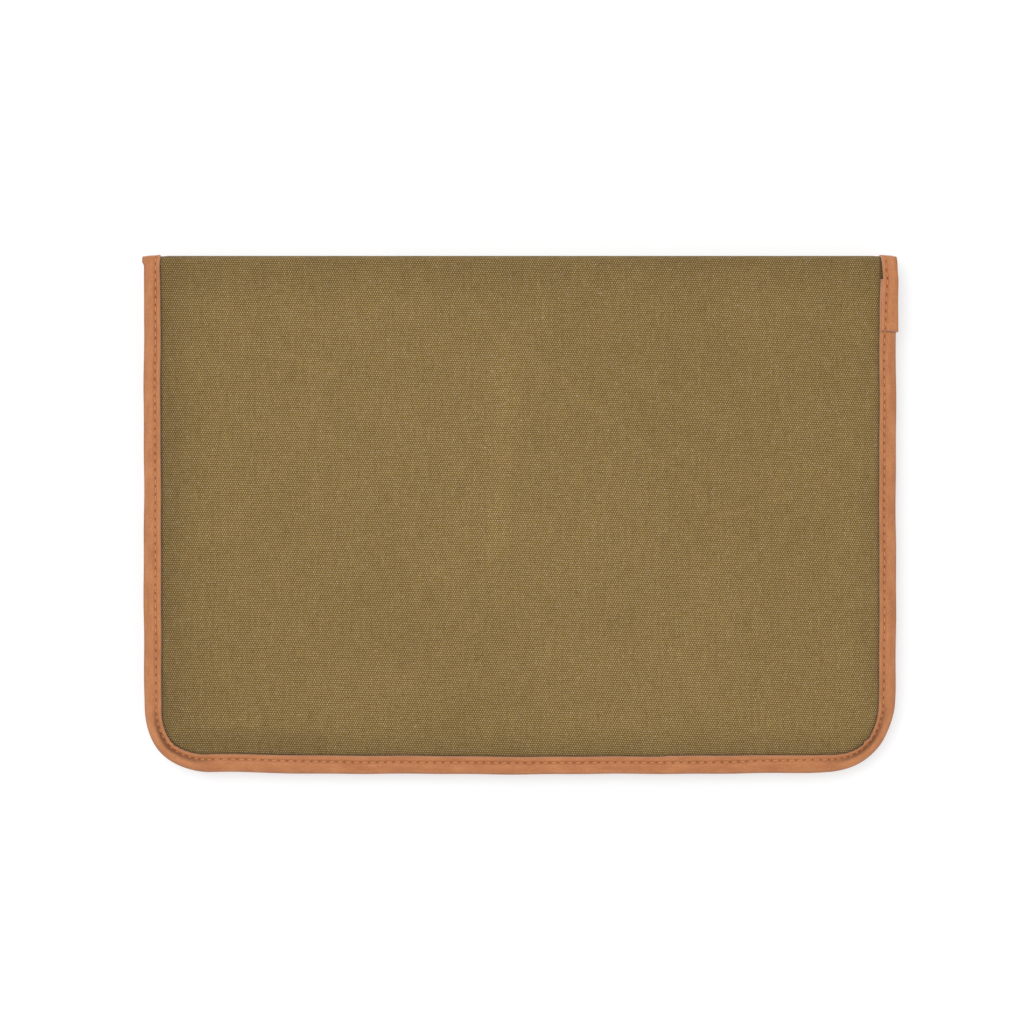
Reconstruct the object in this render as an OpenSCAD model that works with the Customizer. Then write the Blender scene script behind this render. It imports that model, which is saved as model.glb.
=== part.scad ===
// Padded laptop sleeve with a full-length flap, lying on its back.
// X runs across the sleeve, Y from its closed bottom edge to the fold, Z up.
// The panel is one sandwich that runs along the back, up the spine and over the
// pocket as the flap. Its section is drawn in two coordinates: d, the distance in
// from the outer edge, and n, the depth in from the outer face.

/* [Outline] */
// Width over the edge strips
sleeve_w = 343.4; // [320:0.2:400]
// Height from the bottom edge to the fold
sleeve_h = 236; // [220:1:280]
// Radius of the two bottom corners
corner_r = 31; // [24:0.5:40]
// Outer radius of the panel where it folds
fold_r = 4; // [3.6:0.1:5]

/* [Layers] */
// Thickness of the canvas
canvas_t = 0.8; // [0.6:0.1:1]
// Thickness of the padding
padding_t = 1.2; // [1:0.1:1.6]
// Thickness of the lining
lining_t = 0.4; // [0.3:0.1:0.5]
// Thickness of the leather edge strip
leather_t = 1.0; // [0.8:0.1:1.2]
// Thickness of the leather at the mouth and at the lapped end
thin_leather_t = 0.8; // [0.6:0.1:1]

/* [Pocket] */
// Height of the room for the laptop
cavity_h = 12.5; // [12:0.5:16]
// Distance from the outer edge at which the front wall reaches its full height
shoulder_d = 14.8; // [14.8:0.2:20]
// Steepest slope of the front wall's side, in degrees
shoulder_angle = 85; // [84:1:86]
// Distance from the fold to the front wall's upper edge
mouth_drop = 6; // [5:0.5:12]

/* [Edge strip] */
// Width of the edge strip on each face
strip_w = 8.2; // [7:0.1:9]
// Distance from the outer edge to the seam
seam_d = 5.5; // [4.5:0.1:6]
// Width of the seam thread
thread_w = 0.7; // [0.5:0.1:0.8]
// How far the strip's lapped end reaches down from the fold
tail_len = 33.8; // [25:0.1:50]
// How far down from the fold the strip's covered end begins
covered_start = 10.9; // [8:0.1:20]

/* [Closure] */
// Diameter of a magnet
magnet_d = 18; // [12:1:20]
// Distance of each magnet from the middle
magnet_x = 105; // [60:5:120]
// Distance of the magnets from the bottom edge
magnet_up = 40; // [35:1:80]

/* [Hidden] */
$fn = 64;

half_w = sleeve_w / 2;
half_h = sleeve_h / 2;
panel_t = canvas_t + padding_t + lining_t;
lining_n = canvas_t + padding_t;
// Room left between the mouth's leather and the flap
flap_gap = 0.3;
front_z = panel_t + cavity_h;
total_h = front_z + panel_t + thin_leather_t + flap_gap + panel_t;
// Where the straight part of the back and of the flap ends and the fold begins
fold_y = half_h - fold_r;
mouth_y = half_h - mouth_drop;
// Each half of a fold stops this many degrees short of its neighbour
fold_gap = 4;
half_fold = 45 - fold_gap;

// Depths, from the outer face, of the layers where the strip holds them
flange_lining_n = leather_t + canvas_t;
flange_n = flange_lining_n + lining_t;
strip_t = flange_n + leather_t;
pocket_flange_n = flange_n + lining_t + canvas_t;
pocket_strip_t = pocket_flange_n + leather_t;
// The panel swells from its bound edge to its full thickness between these two
swell_d0 = strip_w + 0.1;
swell_d1 = swell_d0 + 2.7;
// The lining swells a little further in, clear of the front wall's foot
lining_swell_d0 = swell_d0 + 2.6;
lining_swell_d1 = lining_swell_d0 + 2.7;
// Swept sections reach this far in, and the flat plates start a little before
sweep_d = shoulder_d + 2;
plate_d = shoulder_d + 0.5;
groove_depth = 0.5;
groove_w = thread_w + 0.1;
thread_h = 0.4;
patch_t = 0.2;
patch_w = magnet_d + 4;
window_w = patch_w + 1;
magnet_t = padding_t - patch_t;
magnet_y = magnet_up - half_h;
flare_len = 4.5;
canvas_colour = [0.54, 0.44, 0.28];
leather_colour = [0.75, 0.5, 0.34];
lining_colour = [0.45, 0.4, 0.33];
padding_colour = [0.85, 0.84, 0.8];
thread_colour = [0.85, 0.6, 0.37];

// ---- Sections in (d, n) ----

module canvas_section() {
    polygon([
        [leather_t, leather_t], [swell_d0, leather_t], [swell_d1, 0], [sweep_d, 0],
        [sweep_d, canvas_t], [swell_d1, canvas_t], [swell_d0, flange_lining_n],
        [leather_t, flange_lining_n]
    ]);
}

module lining_section() {
    polygon([
        [leather_t, flange_lining_n], [lining_swell_d0, flange_lining_n],
        [lining_swell_d1, lining_n], [sweep_d, lining_n], [sweep_d, panel_t],
        [lining_swell_d1, panel_t], [lining_swell_d0, flange_n], [leather_t, flange_n]
    ]);
}

module padding_section() {
    polygon([
        [swell_d0, flange_lining_n], [swell_d1, canvas_t], [sweep_d, canvas_t],
        [sweep_d, lining_n], [lining_swell_d1, lining_n],
        [lining_swell_d0, flange_lining_n]
    ]);
}

// Outer shape of an edge strip of thickness t and width w with a round nose
module strip_outline(t, w) {
    translate([t / 2, t / 2])
        circle(d = t);
    translate([t / 2, 0])
        square([w - t / 2, t]);
}

// An edge strip folded round layers flange_t thick, with a seam groove on each face
module strip_section(flange_t) {
    t = flange_t + 2 * leather_t;
    difference() {
        strip_outline(t, strip_w);
        translate([leather_t, leather_t])
            square([strip_w, flange_t]);
        for (n = [0, t])
            translate([seam_d, n])
                square([groove_w, 2 * groove_depth], center = true);
    }
}

// The seam thread that lies in a groove whose leather surface is at depth n
module thread_section(n, inward) {
    translate([seam_d - thread_w / 2, n + (inward > 0 ? groove_depth - thread_h : -groove_depth)])
        square([thread_w, thread_h]);
}

// ---- Front wall surfaces ----

// Side of the front wall from height z0 at its foot to z1 at its shoulder, as points
// in (d, z): an arc of radius a, a straight slope and an arc of radius b
function wall_side(z0, z1, a, b) =
    let (
        slope = (z1 - z0 - (a + b) * (1 - cos(shoulder_angle))) / sin(shoulder_angle),
        run = (a + b) * sin(shoulder_angle) + slope * cos(shoulder_angle),
        d0 = shoulder_d - run,
        steps = 6
    )
    concat(
        [for (i = [0:steps])
            let (t = shoulder_angle * i / steps)
            [d0 + a * sin(t), z0 + a - a * cos(t)]],
        [for (i = [0:steps])
            let (t = shoulder_angle * (1 - i / steps))
            [shoulder_d - b * sin(t), z1 - b + b * cos(t)]]
    );

inner_arc = 2;
foot_arc = 1.5;
canvas_foot_arc = 1.2;
lining_z0 = flange_n;
canvas_z0 = flange_n + lining_t;
wall_top_z = front_z + panel_t;

// The wall's four surfaces, from the lining's inner face to the canvas's outer face,
// and the two faces of the mouth's leather. grow moves a surface out along its normal.
function lining_face(grow) =
    wall_side(lining_z0 + grow, front_z + grow, foot_arc - grow, inner_arc + grow);
function canvas_face(grow) =
    wall_side(
        canvas_z0 + canvas_t + grow, wall_top_z + grow,
        canvas_foot_arc - grow, inner_arc + panel_t + grow
    );

function reverse(points) = [for (i = [len(points) - 1:-1:0]) points[i]];

// The band between a lower and an upper surface, from distance d0 to the sweep's end
module wall_band(lower, upper, d0) {
    polygon(concat(
        [[d0, lower[0][1]]], lower, [[sweep_d, lower[len(lower) - 1][1]]],
        [[sweep_d, upper[len(upper) - 1][1]]], reverse(upper), [[d0, upper[0][1]]]
    ));
}

// The padding starts at the foot, where lining and canvas part
module wall_padding_section() {
    lower = lining_face(lining_t);
    upper = canvas_face(-canvas_t);
    polygon(concat(
        lower, [[sweep_d, lower[len(lower) - 1][1]]],
        [[sweep_d, upper[len(upper) - 1][1]]], reverse(upper)
    ));
}

// ---- Sweeps ----

// Sweeps a section round the left, bottom and right edges, up to the given heights
module edge_sweep(left_y, right_y) {
    side_y = corner_r - half_h;
    for (side = [[0, left_y], [1, right_y]])
        mirror([side[0], 0, 0]) {
            translate([-half_w, side[1], 0])
                rotate([90, 0, 0])
                    linear_extrude(side[1] - side_y)
                        children();
            translate([corner_r - half_w, side_y, 0])
                rotate([0, 0, 180])
                    rotate_extrude(angle = 90)
                        translate([corner_r, 0])
                            mirror([1, 0])
                                children();
        }
    translate([corner_r - half_w, -half_h, 0])
        rotate([90, 0, 90])
            linear_extrude(sleeve_w - 2 * corner_r)
                children();
}

// The outline, inset by d, from the bottom edge up to y
module plate_outline(d, y) {
    r = corner_r - d;
    for (x = [-1, 1])
        translate([x * (half_w - corner_r), corner_r - half_h])
            circle(r = r);
    translate([corner_r - half_w, d - half_h])
        square([sleeve_w - 2 * corner_r, y - d + half_h]);
    translate([d - half_w, corner_r - half_h])
        square([sleeve_w - 2 * d, y - corner_r + half_h]);
}

module flat_plate(z, t, y) {
    translate([0, 0, z])
        linear_extrude(t)
            plate_outline(plate_d, y);
}

// Turns a section into the flap's position, where depth runs down from the top
module on_flap() {
    translate([0, 0, total_h])
        mirror([0, 0, 1])
            children();
}

// A section in (x, n) across the whole panel: both edges and, with a middle, the sheet
module across(n0, n1) {
    for (m = [0, 1])
        mirror([m, 0])
            translate([-half_w, 0])
                children();
    translate([plate_d - half_w, n0])
        square([sleeve_w - 2 * plate_d, n1 - n0]);
}

// A section at one edge: side is -1 for the left and 1 for the right
module at_edge(side) {
    mirror([side > 0 ? 1 : 0, 0])
        translate([-half_w, 0])
            children();
}

// Turns a section in (x, n) through half a fold about an axis at height z, starting
// from the back's direction or, with quarter = 1, from the spine's
module half_fold_arc(z, quarter) {
    translate([0, fold_y, z])
        rotate([0, 90, 0])
            rotate([0, 0, 90 * quarter])
                rotate_extrude(angle = half_fold)
                    translate([fold_r, 0])
                        rotate(90)
                            children();
}

// The upper half of the spine's run: the straight part and its part of the fold
module half_spine() {
    half_fold_arc(total_h - fold_r, 1)
        children();
    translate([0, half_h, total_h - fold_r])
        mirror([0, 0, 1])
            linear_extrude(total_h / 2 - fold_r + 1)
                mirror([0, 1])
                    children();
}

module spine_run() {
    half_spine()
        children();
    on_flap()
        half_spine()
            children();
}

// One layer of the back or the flap: its edges, its flat and its half of the fold.
// The layer's section is the child, and its flat lies between depths n0 and n1.
module panel_layer(n0, n1) {
    edge_sweep(fold_y, fold_y)
        children();
    flat_plate(n0, n1 - n0, fold_y);
    half_fold_arc(fold_r, 0)
        across(n0, n1)
            children();
}

module magnet_windows(z) {
    for (x = [-magnet_x, magnet_x])
        translate([x, magnet_y, z])
            cube([window_w, window_w, 3 * padding_t], center = true);
}

// ---- Pocket: back wall ----

module back_canvas() {
    color(canvas_colour)
        panel_layer(0, canvas_t)
            canvas_section();
}

module back_padding() {
    color(padding_colour)
        panel_layer(canvas_t, lining_n)
            padding_section();
}

module back_lining() {
    color(lining_colour)
        panel_layer(lining_n, panel_t)
            lining_section();
}

// ---- Pocket: front wall ----

module front_lining() {
    color(lining_colour) {
        edge_sweep(mouth_y, mouth_y)
            wall_band(lining_face(0), lining_face(lining_t), leather_t);
        flat_plate(front_z, lining_t, mouth_y);
    }
}

module front_padding() {
    color(padding_colour)
        difference() {
            union() {
                edge_sweep(mouth_y, mouth_y)
                    wall_padding_section();
                flat_plate(front_z + lining_t, padding_t, mouth_y);
            }
            magnet_windows(front_z + panel_t / 2);
        }
}

module front_canvas() {
    color(canvas_colour) {
        edge_sweep(mouth_y, mouth_y)
            wall_band(canvas_face(-canvas_t), canvas_face(0), leather_t);
        flat_plate(wall_top_z - canvas_t, canvas_t, mouth_y);
    }
}

// A band in (x, z) over the whole mouth, extruded along Y between two distances from
// the mouth's edge. Its ends stop just above the foot of the wall.
module mouth_band(lower, upper, y0, y1) {
    translate([0, mouth_y + y1, 0])
        rotate([90, 0, 0])
            linear_extrude(y1 - y0)
                intersection() {
                    union() {
                        for (m = [0, 1])
                            mirror([m, 0])
                                translate([-half_w, 0])
                                    wall_band(lower, upper, leather_t);
                        translate([plate_d - half_w, lower[len(lower) - 1][1]])
                            square([
                                sleeve_w - 2 * plate_d,
                                upper[len(upper) - 1][1] - lower[len(lower) - 1][1]
                            ]);
                    }
                    translate([strip_w + 0.5 - half_w, pocket_strip_t + 0.3])
                        square([sleeve_w - 2 * strip_w - 1, total_h]);
                }
}

// Place of the mouth's seam and half its length, which covers the flat of the wall
mouth_seam_y = mouth_y - 5;
mouth_seam_half = half_w - sweep_d;

module mouth_seam(z0, z1, w) {
    translate([-mouth_seam_half, mouth_seam_y - w / 2, z0])
        cube([2 * mouth_seam_half, w, z1 - z0]);
}

module mouth_binding() {
    outer_top = wall_top_z + thin_leather_t;
    inner_bottom = front_z - thin_leather_t;
    color(leather_colour)
        difference() {
            union() {
                mouth_band(canvas_face(0), canvas_face(thin_leather_t), -strip_w, 0);
                mouth_band(lining_face(-thin_leather_t), lining_face(0), -strip_w, 0);
                mouth_band(
                    lining_face(-thin_leather_t), canvas_face(thin_leather_t), 0, thin_leather_t
                );
            }
            mouth_seam(outer_top - thread_h, outer_top + 1, groove_w);
            mouth_seam(inner_bottom - 1, inner_bottom + thread_h, groove_w);
        }
}

module mouth_thread() {
    outer_top = wall_top_z + thin_leather_t;
    inner_bottom = front_z - thin_leather_t;
    color(thread_colour) {
        mouth_seam(outer_top - thread_h, outer_top - 0.1, thread_w);
        mouth_seam(inner_bottom + 0.1, inner_bottom + thread_h, thread_w);
    }
}

// ---- Pocket: edges ----

module pocket_binding() {
    color(leather_colour) {
        edge_sweep(fold_y, fold_y)
            strip_section(pocket_flange_n - leather_t);
        for (side = [-1, 1])
            half_fold_arc(fold_r, 0)
                at_edge(side)
                    strip_section(flange_n - leather_t);
    }
}

module pocket_needle_thread() {
    color(thread_colour)
        edge_sweep(fold_y, fold_y)
            thread_section(0, 1);
}

module pocket_bobbin_thread() {
    color(thread_colour)
        edge_sweep(fold_y, fold_y)
            thread_section(pocket_strip_t, -1);
}

// ---- Closure ----

module magnet(x, z) {
    color("silver")
        translate([x, magnet_y, z])
            cylinder(d = magnet_d, h = magnet_t);
}

module patch(x, z) {
    color("white")
        translate([x - patch_w / 2, magnet_y - patch_w / 2, z])
            cube([patch_w, patch_w, patch_t]);
}

pocket_magnet_z = front_z + lining_t;
flap_magnet_z = total_h - panel_t + lining_t;

// ---- Spine ----

module spine_canvas() {
    color(canvas_colour)
        spine_run()
            across(0, canvas_t)
                canvas_section();
}

module spine_padding() {
    color(padding_colour)
        spine_run()
            across(canvas_t, lining_n)
                padding_section();
}

module spine_lining() {
    color(lining_colour)
        spine_run()
            across(lining_n, panel_t)
                lining_section();
}

module spine_binding(side) {
    color(leather_colour)
        spine_run()
            at_edge(side)
                strip_section(flange_n - leather_t);
}

module spine_thread(side) {
    color(thread_colour)
        spine_run()
            at_edge(side) {
                thread_section(0, 1);
                thread_section(strip_t, -1);
            }
}

// ---- Flap ----

module flap_canvas() {
    color(canvas_colour)
        on_flap()
            panel_layer(0, canvas_t)
                canvas_section();
}

module flap_padding() {
    color(padding_colour)
        difference() {
            on_flap()
                panel_layer(canvas_t, lining_n)
                    padding_section();
            magnet_windows(total_h - panel_t / 2);
        }
}

module flap_lining() {
    color(lining_colour)
        on_flap()
            panel_layer(lining_n, panel_t)
                lining_section();
}

covered_y = half_h - covered_start;
tail_y = half_h - tail_len;

// The strip stands out a little where it leaves the fold on the left
module fold_flare() {
    translate([-half_w - thin_leather_t, fold_y - flare_len - 0.5, 0.6])
        cube([thin_leather_t + leather_t / 2, flare_len, strip_t - 1.2]);
}

module flap_binding() {
    color(leather_colour)
        on_flap() {
            edge_sweep(fold_y, covered_y)
                strip_section(flange_n - leather_t);
            half_fold_arc(fold_r, 0)
                at_edge(-1)
                    strip_section(flange_n - leather_t);
            fold_flare();
        }
}

// The lapped end's section: it wraps the strip that it covers
module tail_section() {
    difference() {
        translate([strip_t / 2, strip_t / 2])
            circle(d = strip_t + 2 * thin_leather_t);
        strip_outline(strip_t, strip_w + 1);
        translate([strip_t / 2, -strip_t])
            square([strip_w, 3 * strip_t]);
    }
    difference() {
        translate([strip_t / 2, -thin_leather_t])
            square([strip_w - strip_t / 2 - 0.7, strip_t + 2 * thin_leather_t]);
        strip_outline(strip_t, strip_w + 1);
        for (n = [-thin_leather_t, strip_t + thin_leather_t])
            translate([seam_d, n])
                square([groove_w, 2 * groove_depth], center = true);
    }
}

module right_edge_run(y0, y1) {
    mirror([1, 0, 0])
        translate([-half_w, y1, 0])
            rotate([90, 0, 0])
                linear_extrude(y1 - y0)
                    children();
}

module binding_tail() {
    color(leather_colour)
        on_flap() {
            half_fold_arc(fold_r, 0)
                at_edge(1)
                    strip_section(flange_n - leather_t);
            right_edge_run(covered_y, fold_y)
                strip_section(flange_n - leather_t);
            right_edge_run(tail_y, covered_y + 1)
                tail_section();
        }
}

// Seam thread of the flap on the face at depth n. On the lapped end it lies on that
// end's leather, higher by lift.
module flap_thread(n, inward, lift) {
    color(thread_colour)
        on_flap() {
            edge_sweep(fold_y, tail_y)
                thread_section(n, inward);
            right_edge_run(tail_y, covered_y + 1)
                thread_section(n + lift, inward);
            right_edge_run(covered_y + 1, fold_y)
                thread_section(n, inward);
        }
}

back_canvas();
back_padding();
back_lining();
front_canvas();
front_padding();
front_lining();
mouth_binding();
mouth_thread();
pocket_binding();
pocket_needle_thread();
pocket_bobbin_thread();
magnet(-magnet_x, pocket_magnet_z);  // pocket_magnet_left
magnet(magnet_x, pocket_magnet_z);  // pocket_magnet_right
patch(-magnet_x, pocket_magnet_z + magnet_t);  // pocket_magnet_patch_left
patch(magnet_x, pocket_magnet_z + magnet_t);  // pocket_magnet_patch_right
spine_canvas();
spine_padding();
spine_lining();
spine_binding(-1);  // spine_binding_left
spine_binding(1);  // spine_binding_right
spine_thread(-1);  // spine_thread_left
spine_thread(1);  // spine_thread_right
flap_canvas();
flap_padding();
flap_lining();
flap_binding();
binding_tail();
flap_thread(0, 1, -thin_leather_t);  // flap_needle_thread
flap_thread(strip_t, -1, thin_leather_t);  // flap_bobbin_thread
magnet(-magnet_x, flap_magnet_z);  // flap_magnet_left
magnet(magnet_x, flap_magnet_z);  // flap_magnet_right
patch(-magnet_x, flap_magnet_z + magnet_t);  // flap_magnet_patch_left
patch(magnet_x, flap_magnet_z + magnet_t);  // flap_magnet_patch_right
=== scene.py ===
"""A padded canvas laptop sleeve with a leather-bound edge, lying closed on a white table.

Shapes are worked out in millimetres. The panel is one long sheet that runs along the back,
up the spine and over the pocket as the flap, so its upper and lower halves share one map:
x across, y up the flap and on past the fold, and a depth in from the outer face.
"""
import math

import bmesh
import bpy
import numpy as np
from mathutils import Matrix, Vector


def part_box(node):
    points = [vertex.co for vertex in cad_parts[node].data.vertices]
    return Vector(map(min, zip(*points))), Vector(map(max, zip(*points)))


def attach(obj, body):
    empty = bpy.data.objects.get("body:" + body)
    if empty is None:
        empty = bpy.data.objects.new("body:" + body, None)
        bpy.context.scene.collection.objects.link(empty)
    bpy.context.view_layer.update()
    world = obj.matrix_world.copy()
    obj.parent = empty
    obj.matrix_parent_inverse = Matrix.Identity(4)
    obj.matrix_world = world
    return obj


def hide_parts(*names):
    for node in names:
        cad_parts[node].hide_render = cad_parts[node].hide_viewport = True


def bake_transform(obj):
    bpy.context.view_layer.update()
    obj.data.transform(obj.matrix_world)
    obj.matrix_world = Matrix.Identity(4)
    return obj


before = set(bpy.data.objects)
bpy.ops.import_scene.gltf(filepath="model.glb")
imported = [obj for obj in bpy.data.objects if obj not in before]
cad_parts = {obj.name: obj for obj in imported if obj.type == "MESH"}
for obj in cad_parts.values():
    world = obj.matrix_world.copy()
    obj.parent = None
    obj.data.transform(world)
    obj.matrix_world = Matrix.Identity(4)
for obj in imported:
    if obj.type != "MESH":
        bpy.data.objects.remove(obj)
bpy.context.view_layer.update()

MM = 0.001
HALF_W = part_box("pocket_binding")[1].x / MM
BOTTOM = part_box("pocket_binding")[0].y / MM
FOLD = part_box("spine_canvas")[1].y / MM
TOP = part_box("flap_canvas")[1].z / MM
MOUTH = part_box("front_canvas")[1].y / MM
WALL_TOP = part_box("front_canvas")[1].z / MM
MAGNET_LOW, MAGNET_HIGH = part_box("flap_magnet_patch_right")

# Radii of the rounded corners and of the fold's two bends
CORNER = 31.0
FOLD_R = 4.0
# Thicknesses of each layer and of the panel, then how deep the panel's edge and the strip
# reach from the strip's outer face, on the flap and on the pocket
LEATHER = 1.0
THIN_LEATHER = 0.8
CANVAS = 0.8
LINING = 0.4
PANEL = 2.4
FLANGE = 2.2
STRIP_T = 3.2
POCKET_FLANGE = 3.4
POCKET_STRIP_T = 4.4
# The strip's width, its seams' places in it, and their pitch, stitches, thread and depth
STRIP_W = 8.2
SEAM = 5.5
MOUTH_SEAM = 5.0
PITCH = 3.74
STITCH = 2.3
THREAD = 0.52
SEAM_DEPTH = 0.42

FLAT_TOP = FOLD - FOLD_R
# How far below the flat's top the strip's first end starts and the lapped end reaches
COVERED = 10.9 - FOLD_R
TAIL = 33.8 - FOLD_R
# Lengths along the edge: down one side, round a corner and along the bottom
SIDE = FLAT_TOP - BOTTOM - CORNER
ARC = CORNER * math.pi / 2
BASE = 2 * (HALF_W - CORNER)
LENGTH = 2 * (SIDE + ARC) + BASE
QUARTER = FOLD_R * math.pi / 2
# Path length from the end of the flap's flat to the middle of the spine
TO_SPINE = QUARTER + TOP / 2 - FOLD_R

# How far the flap's edges hang down, over what width and after what run
DROOP = 4.5
DROOP_W = 24.0
DROOP_RUN = 70.0


# ---- The sheet's map ----

def smooth(value, low, high):
    t = np.clip((value - low) / (high - low), 0, 1)
    return t * t * (3 - 2 * t)


def bump(value, centre, width):
    return np.exp(-(((value - centre) / width) ** 2))


def along(s, d):
    """Place on the sheet at the length s along the edge and the distance d in from it."""
    s, d = np.broadcast_arrays(np.asarray(s, float), np.asarray(d, float))
    t = np.minimum(s, LENGTH - s)
    side = np.where(s < LENGTH / 2, -1.0, 1.0)
    a = np.clip((t - SIDE) / CORNER, 0, math.pi / 2)
    x = HALF_W - CORNER + (CORNER - d) * np.cos(a) - np.maximum(0, t - SIDE - ARC)
    y = BOTTOM + CORNER - (CORNER - d) * np.sin(a) + np.maximum(0, SIDE - t)
    return side * x, y


def edge_frame(x, y):
    """For a place on the sheet: its length along the nearer half of the edge, its distance
    in from the edge and the direction inwards."""
    u = np.abs(x) - (HALF_W - CORNER)
    w = BOTTOM + CORNER - y
    corner = (u > 0) & (w > 0)
    reach = np.maximum(np.hypot(u, w), 1e-9)
    by_side = HALF_W - np.abs(x) < y - BOTTOM
    d = np.where(corner, CORNER - reach, np.minimum(HALF_W - np.abs(x), y - BOTTOM))
    angle = np.arctan2(np.maximum(w, 0), np.maximum(u, 1e-9))
    t = np.where(by_side, SIDE + w, SIDE + ARC - u)
    t = np.where(corner, SIDE + angle * CORNER, t)
    nx = np.where(corner, -u / reach, np.where(by_side, -1.0, 0.0)) * np.sign(x)
    ny = np.where(corner, w / reach, np.where(by_side, 0.0, 1.0))
    return t, d, nx, ny


def unevenness(x, y):
    """The small waves of a hand-turned edge: how far the flap's edge stands in."""
    t, d, nx, ny = edge_frame(x, y)
    s = np.where(x < 0, t, LENGTH - t)
    left = 0.25 * bump(t, SIDE + 2, 9) - 0.7 * bump(t, SIDE + 24, 10) + 0.6 * bump(t, SIDE + 54, 14)
    right = 1.2 * bump(t, SIDE + 11, 11) + bump(t, SIDE + 27, 10) + 0.7 * bump(t, SIDE + 42, 10)
    bow = smooth(t, SIDE + ARC - 10, LENGTH / 2)
    waves = 0.12 * np.sin(s / 13.0) + 0.08 * np.sin(s / 5.3 + 1)
    inward = np.where(x < 0, left, right) - 0.5 * bow + waves * smooth(t, 5, 20)
    inward = inward * np.exp(-np.maximum(d, 0) / 15)
    drawn_in = 0.7 * (1 - smooth(t, 0, DROOP_RUN)) * smooth(t, -12, -1)
    inward = inward + drawn_in * np.exp(-np.maximum(d, 0) / 60)
    flare = np.where(x < 0, 1 - smooth(t, -1.4, 0.8), 0) * smooth(t, -12, -6)
    inward = inward - 0.8 * flare * (1 - smooth(d, 0.5, 3.5))
    return inward * nx, inward * ny


def droop(x, y):
    _, d, _, _ = edge_frame(x, y)
    share = np.clip(1 - np.maximum(d, 0) / DROOP_W, 0, 1) ** 2
    return DROOP * share * smooth(FLAT_TOP - y, 0, DROOP_RUN)


def ripple(x, y):
    """Slight hollows and swells of the padding."""
    _, d, _, _ = edge_frame(x, y)
    waves = np.sin(x / 23 + y / 41) * np.sin(y / 31 - x / 67 + 1)
    waves = waves + 0.6 * np.sin(x / 11 + 2) * np.sin(y / 13 + x / 29)
    return 0.11 * waves * smooth(d, 9, 26) * smooth(FLAT_TOP - y, 2, 16)


def sheet_place(y, depth):
    """The half sheet above the spine's middle, from its flat coordinates to space."""
    over = y - FLAT_TOP
    a = np.clip(over / FOLD_R, 0, math.pi / 2)
    r = FOLD_R - depth
    py = np.where(over < 0, y, FLAT_TOP + r * np.sin(a))
    pz = np.where(over < 0, TOP - depth, TOP - FOLD_R + r * np.cos(a))
    return py, pz - np.maximum(0, over - QUARTER)


def on_flap(x, y, depth):
    py, pz = sheet_place(y, depth)
    dx, dy = unevenness(x, y)
    pz = pz - droop(x, y) + ripple(x, y)
    return np.stack([x + dx, py + dy, pz], -1)


def on_back(x, y, depth):
    py, pz = sheet_place(y, depth)
    return np.stack([x, py, TOP - pz], -1)


def upright(x, y, z):
    return np.stack([x, y, z], -1)


# ---- Meshes ----

SHARP = math.radians(40)


class Mesh:
    """Collects grids of quads, with one vector of flat coordinates at each point."""

    def __init__(self):
        self.points, self.flat, self.faces, self.kinds = [], [], [], []
        self.count = 0

    def grid(self, points, flat, keep=None, kinds=None, ring=False):
        rows, columns = points.shape[:2]
        index = self.count + np.arange(rows * columns).reshape(rows, columns)
        if ring:
            index = np.concatenate([index, index[:, :1]], 1)
        quads = np.stack([index[:-1, :-1], index[1:, :-1], index[1:, 1:], index[:-1, 1:]], -1)
        kind = np.zeros(quads.shape[:2], int) + (0 if kinds is None else kinds)
        chosen = np.ones(quads.shape[:2], bool) if keep is None else keep
        self.faces += quads[chosen].tolist()
        self.kinds += kind[chosen].tolist()
        self.points.append(points.reshape(-1, 3))
        self.flat.append(np.broadcast_to(flat, points.shape).reshape(-1, 3))
        self.count += rows * columns
        return index

    def tube(self, points, flat, end, kinds=None):
        """A grid that closes round on itself, with both ends capped."""
        index = self.grid(points, flat, kinds=kinds, ring=True)
        for rim in (index[0][:-1][::-1], index[-1][:-1]):
            self.faces.append(rim.tolist())
            self.kinds.append(end)

    def build(self, name, attribute, materials):
        data = bpy.data.meshes.new(name)
        data.from_pydata((np.concatenate(self.points) * MM).tolist(), [], self.faces)
        layer = data.attributes.new(attribute, "FLOAT_VECTOR", "POINT")
        layer.data.foreach_set("vector", np.concatenate(self.flat).astype(np.float32).ravel())
        for material in materials:
            data.materials.append(material)
        data.polygons.foreach_set("material_index", self.kinds)
        piece = bpy.data.objects.new(name, data)
        bpy.context.scene.collection.objects.link(piece)
        finish_mesh(data)
        return piece


def finish_mesh(data):
    """Welds the grids and shades them smooth, apart from edges sharper than SHARP."""
    shape = bmesh.new()
    shape.from_mesh(data)
    bmesh.ops.remove_doubles(shape, verts=shape.verts, dist=1e-7)
    bmesh.ops.recalc_face_normals(shape, faces=shape.faces)
    for face in shape.faces:
        face.smooth = True
    for edge in shape.edges:
        edge.smooth = edge.calc_face_angle(0) < SHARP
    shape.to_mesh(data)
    shape.free()


# ---- Layers of the panel and of the front wall ----

def side_rows(start, step):
    """Lengths along the left edge at which a layer has its rows, from start to the bottom."""
    fold = np.linspace(start, 0, 15)[:-1] if start < 0 else []
    straight = np.linspace(max(start, 0), SIDE, int(SIDE / step) + 1)
    corner = np.linspace(SIDE, SIDE + ARC, 31)[1:]
    return np.concatenate([fold, straight, corner])


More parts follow.
